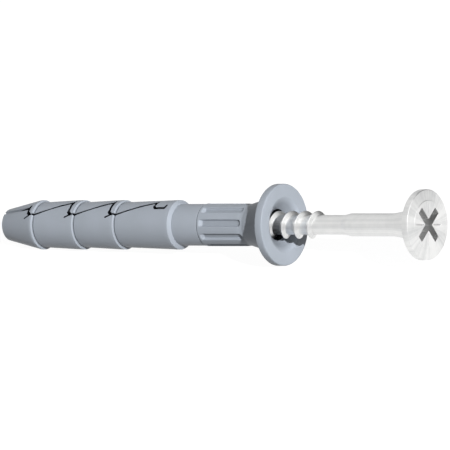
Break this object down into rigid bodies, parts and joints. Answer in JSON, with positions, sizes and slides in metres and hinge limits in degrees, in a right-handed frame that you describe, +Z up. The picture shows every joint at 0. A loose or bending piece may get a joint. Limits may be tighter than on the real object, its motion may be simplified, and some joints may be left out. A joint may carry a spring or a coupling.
{
  "type": "wall plug with screw",
  "caption": "Hammer-in wall anchor: a barbed, slit plastic sleeve with a thin collar, and a threaded nail screw with a trumpet head and cross recess standing part-driven in it.",
  "frame": {"origin": "middle of the bounding box, on the surface the anchor lies on", "axes": "+X along the length towards the screw's head, +Z up; the anchor's own axis rises 3.19 degrees from +X towards +Z, because it lies on the back edge of its collar and on the lip of its first barb"},
  "size_m": [0.0628, 0.01, 0.0105],
  "materials": {
    "nylon": "satin moulded light grey nylon",
    "zinc_steel": "bright zinc-plated cold-formed steel"
  },
  "bodies": {
    "root": {"sleeve": "nylon", "nail_screw": "zinc_steel"}
  },
  "joints": []
}
